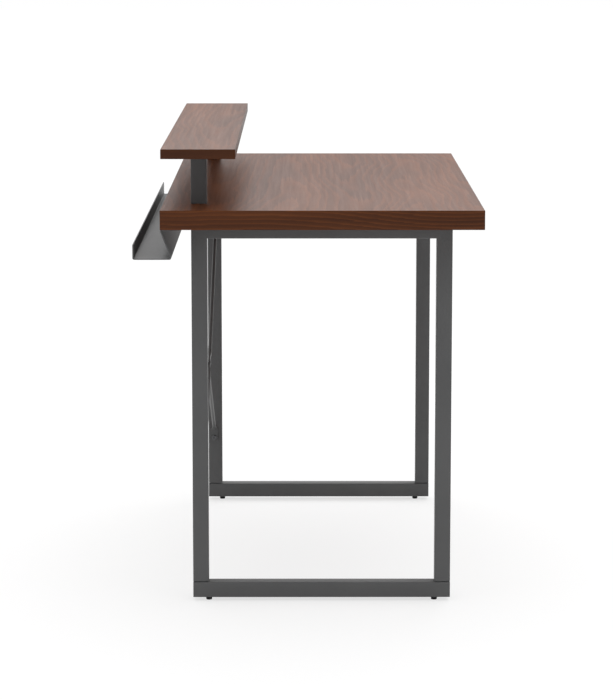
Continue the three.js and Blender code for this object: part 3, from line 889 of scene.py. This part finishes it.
def wood_screws():
    """The screws that hold the tray and the side frames up against the top."""
    names = [(f"tray_screw_{i}", BLACK_STEEL, "black_steel") for i in TRAY_SCREWS]
    for side, _ in SIDES:
        names += [(f"{side}_frame_screw_{i}", ZINC, "zinc_steel") for i in FRAME_SCREWS]
    for node, material, slot in names:
        low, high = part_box(node)
        spot = (low + high) / 2
        radius = (high.x - low.x) / 2
        spot.z = low.z + HEAD_HEIGHT * radius
        recess = cross_recess(CROSS_REACH * radius, CROSS_DEPTH)
        pose = Matrix.Translation(spot)
        made = screw(f"{node}_cross_head", node, WOOD_THREAD, recess, pose)
        place(made, material, slot, "desk", [node])


def threaded_stud(node, body):
    """The stud of a levelling foot, with its thread."""
    low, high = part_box(node)
    spot = (low + high) / 2
    radius = (high.x - low.x) / 2
    length = high.z - low.z
    rows = round(length / THREAD_PITCH * THREAD_ROWS)
    bm = bmesh.new()
    rings = []
    for row in range(rows + 1):
        height = length * row / rows
        from_end = min(height, length - height)
        chamfer = max(0.0, THREAD_DEPTH - from_end)
        ring = []
        for i, (x, y) in enumerate(circle(1, THREAD_SIDES)):
            phase = (height / THREAD_PITCH - i / THREAD_SIDES) % 1
            groove = THREAD_DEPTH * (1 - abs(2 * phase - 1))
            reach = radius - max(groove, chamfer)
            ring.append((spot.x + reach * x, spot.y + reach * y, low.z + height))
        rings.append(ring)
    loft(bm, rings)
    place(as_object(f"{node}_thread", bm), ZINC, "zinc_steel", body, [node])


def levelling_foot(side, end):
    """A moulded foot, fluted for the fingers, and the stud in its socket."""
    node = f"{side}_{end}_foot"
    body = f"{side}_{end}_leveller"
    low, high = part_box(node)
    spot = (low + high) / 2
    top = high.z - low.z
    wide = (high.x - low.x) / 2
    base = wide - FOOT_INSET
    profile = [(0, 0), (base - 2 * FOOT_EDGE, 0)]
    for angle in quarter_turn(FOOT_EDGE_STEPS):
        radius = base - FOOT_EDGE + FOOT_EDGE * math.sin(angle)
        profile.append((radius, FOOT_EDGE - FOOT_EDGE * math.cos(angle)))
    for angle in quarter_turn(FOOT_EDGE_STEPS):
        radius = wide - FOOT_EDGE + FOOT_EDGE * math.cos(angle)
        profile.append((radius, top - FOOT_EDGE + FOOT_EDGE * math.sin(angle)))
    profile += [(BOLT_HOLE + FOOT_CHAMFER, top), (BOLT_HOLE, top - FOOT_CHAMFER)]
    profile += [(BOLT_HOLE, top - FOOT_SOCKET), (0, top - FOOT_SOCKET)]
    flute = (base - FOOT_EDGE / 2, FLUTE_DEPTH, FLUTES)
    made = turned(f"{side}_{end}_glide", profile, FOOT_SIDES, flute)
    move(made, Matrix.Translation((spot.x, spot.y, low.z)))
    place(made, NYLON, "black_plastic", body, [node])
    threaded_stud(f"{node}_stud", body)


# ---------------------------------------------------------------- cable tray


def folded_section(corners):
    """Both faces of a folded sheet, from the corners down the middle of its thickness."""
    radius = SHEET_BEND + SHEET / 2
    left, right = [], []

    def station(point, along):
        across = Vector((-along.y, along.x)) * (SHEET / 2)
        left.append(point + across)
        right.append(point - across)

    ways = [(b - a).normalized() for a, b in zip(corners, corners[1:])]
    station(corners[0], ways[0])
    for corner, before, after in zip(corners[1:], ways, ways[1:]):
        turn = math.atan2(before.x * after.y - before.y * after.x, before.dot(after))
        setback = radius * math.tan(abs(turn) / 2)
        start = corner - before * setback
        pivot = start + Vector((-before.y, before.x)) * math.copysign(radius, turn)
        for step in range(SHEET_BEND_STEPS + 1):
            by = Matrix.Rotation(turn * step / SHEET_BEND_STEPS, 2)
            station(pivot + by @ (start - pivot), by @ before)
    station(corners[-1], ways[-1])
    return right + left[::-1]


def cable_tray():
    """A flange under the top, a front wall that leans, a floor and an upright rear lip."""
    low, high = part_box("cable_tray")
    half = SHEET / 2
    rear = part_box("tabletop_rear_edge")[1].y
    corners = [
        Vector((low.y, high.z - half)),
        Vector((rear, high.z - half)),
        Vector((rear - TRAY_LEAN + half, low.z + half)),
        Vector((high.y - half, low.z + half)),
        Vector((high.y - half, low.z + TRAY_LIP)),
    ]
    section = folded_section(corners)
    bm = bmesh.new()
    loft(bm, [[(x, point.x, point.y) for point in section] for x in (low.x, high.x)])
    tray = as_object("folded_tray", bm)
    edge = tray.modifiers.new("edge", "BEVEL")
    edge.width = SHEET_EDGE
    edge.segments = SHEET_EDGE_STEPS
    edge.limit_method = "ANGLE"
    edge.angle_limit = SHEET_EDGE_ANGLE
    bake_modifiers(tray)
    cutters = []
    for index in TRAY_SCREWS:
        spot = centre(f"tray_screw_{index}")
        spot.z = high.z
        cutters.append(drill(spot, SCREW_HOLE, -3 * SHEET, 3 * SHEET))
    carve(tray, cutters)
    place(tray, COAT, "powder_coat", "desk", ["cable_tray"])


# ---------------------------------------------------------------- the desk


def dress_hidden_nodes():
    """The pieces that the desk hides keep their CAD shape and get their plating."""
    names = []
    for side, _ in SIDES:
        names += [f"{side}_shelf_bolt", f"{side}_shelf_insert"]
        names += [f"{side}_{end}_foot_nut" for end, _ in ENDS]
    for name in names:
        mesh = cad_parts[name].data
        mesh.materials.clear()
        mesh.materials.append(ZINC)


dress_board("tabletop")
dress_board("shelf")
for side, sign in SIDES:
    frame_arch(side, sign)
    bottom_rail(side)
    shelf_post(side)
    for end, to_end in ENDS:
        rail_plug(side, end, to_end)
        levelling_foot(side, end)
for index in (1, 2):
    brace_rod(index)
rivet()
brace_screws()
wood_screws()
cable_tray()
dress_hidden_nodes()


# ---------------------------------------------------------------- studio

FLOOR_SIZE = 60
WHITE = (1, 1, 1, 1)
FLOOR_BOUNCE = 0.84  # how pale the floor is to the light that falls on the desk
FLOOR_SHADE = 0.30  # how much of that light the camera sees on the floor, shadows and all
FLOOR_WHITE = 0.665  # the rest of the white that the camera sees there
SKY_HORIZON = 0.2  # the light that the sky casts grows from here to the zenith
SKY_ZENITH = 1.42
SKY_SEEN = 1  # the sky as the camera and reflections see it
OVERHEAD = 0.7  # strength of the light from above
OVERHEAD_SPREAD = math.radians(80)  # how wide it is
OVERHEAD_LEAN = (math.radians(8), math.radians(14))  # to the sitter's side and to the right end
SOFTBOX = 28  # watts of the light beyond the right end, whose sheen runs along the top
SOFTBOX_SIZE = 2.4
SOFTBOX_PLACE = Vector((2.2, -0.3, 3.0))
SOFTBOX_AIM = Vector((0, 0, 0.6))
CAMERA_LENS = 144.8  # in millimetres, as the sensor's width is
CAMERA_SENSOR = 36
CAMERA_REACH = 100  # metres, beyond which nothing is seen
CAMERA_PLACE = Vector((-5.760, 0.0118, 1.3293))
CAMERA_AIM = Vector((0, 0.0026, 0.4128))


def aimed(obj, spot, aim):
    """Puts a light or a camera at spot and turns it towards aim."""
    obj.location = spot
    obj.rotation_euler = (aim - spot).to_track_quat("-Z", "Y").to_euler()
    bpy.context.scene.collection.objects.link(obj)


def seen_directly(tree):
    """1 for the camera and for mirrors and glass, 0 for the light that falls on the desk."""
    path = tree.nodes.new("ShaderNodeLightPath")
    total = None
    for kind in ("Is Camera Ray", "Is Glossy Ray", "Is Transmission Ray"):
        output = path.outputs[kind]
        if total is None:
            total = output
            continue
        largest = tree.nodes.new("ShaderNodeMath")
        largest.operation = "MAXIMUM"
        tree.links.new(total, largest.inputs[0])
        tree.links.new(output, largest.inputs[1])
        total = largest.outputs[0]
    return total


def floor():
    """A pale floor. It bounces light like paper, and the camera sees it nearly white."""
    bm = bmesh.new()
    bmesh.ops.create_grid(bm, x_segments=1, y_segments=1, size=FLOOR_SIZE / 2)
    ground = as_object("studio_floor", bm)
    material = bpy.data.materials.new("white floor")
    material.use_nodes = True
    tree = material.node_tree
    tree.nodes.remove(tree.nodes["Principled BSDF"])
    bounce = tree.nodes.new("ShaderNodeBsdfDiffuse")
    bounce.inputs["Color"].default_value = (FLOOR_BOUNCE,) * 3 + (1,)
    shade = tree.nodes.new("ShaderNodeBsdfDiffuse")
    shade.inputs["Color"].default_value = (FLOOR_SHADE,) * 3 + (1,)
    white = tree.nodes.new("ShaderNodeEmission")
    white.inputs["Strength"].default_value = FLOOR_WHITE
    seen = tree.nodes.new("ShaderNodeAddShader")
    tree.links.new(shade.outputs[0], seen.inputs[0])
    tree.links.new(white.outputs[0], seen.inputs[1])
    either = tree.nodes.new("ShaderNodeMixShader")
    tree.links.new(seen_directly(tree), either.inputs[0])
    tree.links.new(bounce.outputs[0], either.inputs[1])
    tree.links.new(seen.outputs[0], either.inputs[2])
    tree.links.new(either.outputs[0], tree.nodes["Material Output"].inputs["Surface"])
    ground.data.materials.append(material)


def sky():
    """A white sky, plain to the camera. The light that it casts grows towards the zenith."""
    world = bpy.data.worlds.new("studio")
    bpy.context.scene.world = world
    world.use_nodes = True
    tree = world.node_tree
    background = tree.nodes["Background"]
    background.inputs["Color"].default_value = WHITE
    way = tree.nodes.new("ShaderNodeTexCoord").outputs["Generated"]
    parts = tree.nodes.new("ShaderNodeSeparateXYZ")
    tree.links.new(way, parts.inputs[0])
    cast = tree.nodes.new("ShaderNodeMapRange")
    cast.inputs["To Min"].default_value = SKY_HORIZON
    cast.inputs["To Max"].default_value = SKY_ZENITH
    tree.links.new(parts.outputs["Z"], cast.inputs["Value"])
    strength = tree.nodes.new("ShaderNodeMapRange")
    strength.inputs["To Max"].default_value = SKY_SEEN
    tree.links.new(cast.outputs["Result"], strength.inputs["To Min"])
    tree.links.new(seen_directly(tree), strength.inputs["Value"])
    tree.links.new(strength.outputs["Result"], background.inputs["Strength"])


def overhead():
    """A very wide, soft light from above."""
    light = bpy.data.lights.new("overhead", "SUN")
    light.energy = OVERHEAD
    light.angle = OVERHEAD_SPREAD
    lamp = bpy.data.objects.new("overhead", light)
    lamp.rotation_euler = (*OVERHEAD_LEAN, 0)
    bpy.context.scene.collection.objects.link(lamp)


def softbox():
    """A large square light, which the camera doesn't see."""
    light = bpy.data.lights.new("softbox", "AREA")
    light.shape = "SQUARE"
    light.size = SOFTBOX_SIZE
    light.energy = SOFTBOX
    lamp = bpy.data.objects.new("softbox", light)
    lamp.visible_camera = False
    aimed(lamp, SOFTBOX_PLACE, SOFTBOX_AIM)


def camera():
    """The photo's view: the desk's left end, from a little above it."""
    lens = bpy.data.cameras.new("camera")
    lens.lens = CAMERA_LENS
    lens.sensor_width = CAMERA_SENSOR
    lens.clip_end = CAMERA_REACH
    view = bpy.data.objects.new("camera", lens)
    aimed(view, CAMERA_PLACE, CAMERA_AIM)
    bpy.context.scene.camera = view


floor()
sky()
overhead()
softbox()
camera()
bpy.context.scene.view_settings.view_transform = "Standard"
